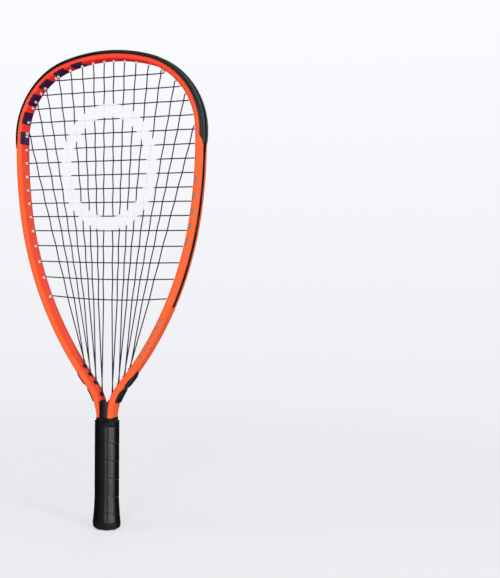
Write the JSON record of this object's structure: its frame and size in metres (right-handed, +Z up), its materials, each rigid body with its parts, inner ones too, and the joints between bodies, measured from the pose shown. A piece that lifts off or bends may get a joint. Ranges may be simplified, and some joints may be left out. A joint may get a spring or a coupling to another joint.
{
  "type": "racquetball racket",
  "caption": "Racquetball racket with a rounded fan head tapering to a twin-leg throat, a woven string bed, a head bumper, grommet strips and a short wrapped octagonal grip with a flared butt cap",
  "frame": {"origin": "Middle of the flat butt end, on the racket's long axis, with the racket standing on its butt.", "axes": "+Z runs up the handle to the crown of the head, X runs across the head (+X is the right as the front is faced) and Y runs through the string bed; the front faces -Y."},
  "size_m": [0.2414, 0.0316, 0.5588],
  "materials": {
    "orange_lacquer": "glossy lacquer over composite",
    "black_nylon": "satin moulded nylon",
    "white_nylon": "satin moulded nylon",
    "grey_string": "smooth nylon string",
    "pallet_foam": "matte foam",
    "grip_foam": "soft tacky synthetic leather wrap",
    "finishing_tape": "smooth adhesive tape",
    "black_rubber": "matte moulded rubber"
  },
  "bodies": {
    "root": {"frame": "orange_lacquer", "head_grommet_strip": "white_nylon", "head_bumper": "black_nylon", "side_grommet_strip_left": "white_nylon", "side_grommet_strip_right": "white_nylon", "side_guard_left": "black_nylon", "side_guard_right": "black_nylon", "throat_grommet_left": "black_nylon", "throat_grommet_right": "black_nylon", "throat_cover_left": "black_nylon", "throat_cover_right": "black_nylon", "main_string_left": "grey_string", "main_string_right": "grey_string", "cross_string": "grey_string", "throat_insert": "black_nylon", "pallet_front": "pallet_foam", "pallet_back": "pallet_foam", "butt_cap": "black_rubber", "grip_wrap": "grip_foam", "finishing_tape": "finishing_tape", "grip_collar": "black_rubber"}
  },
  "joints": []
}
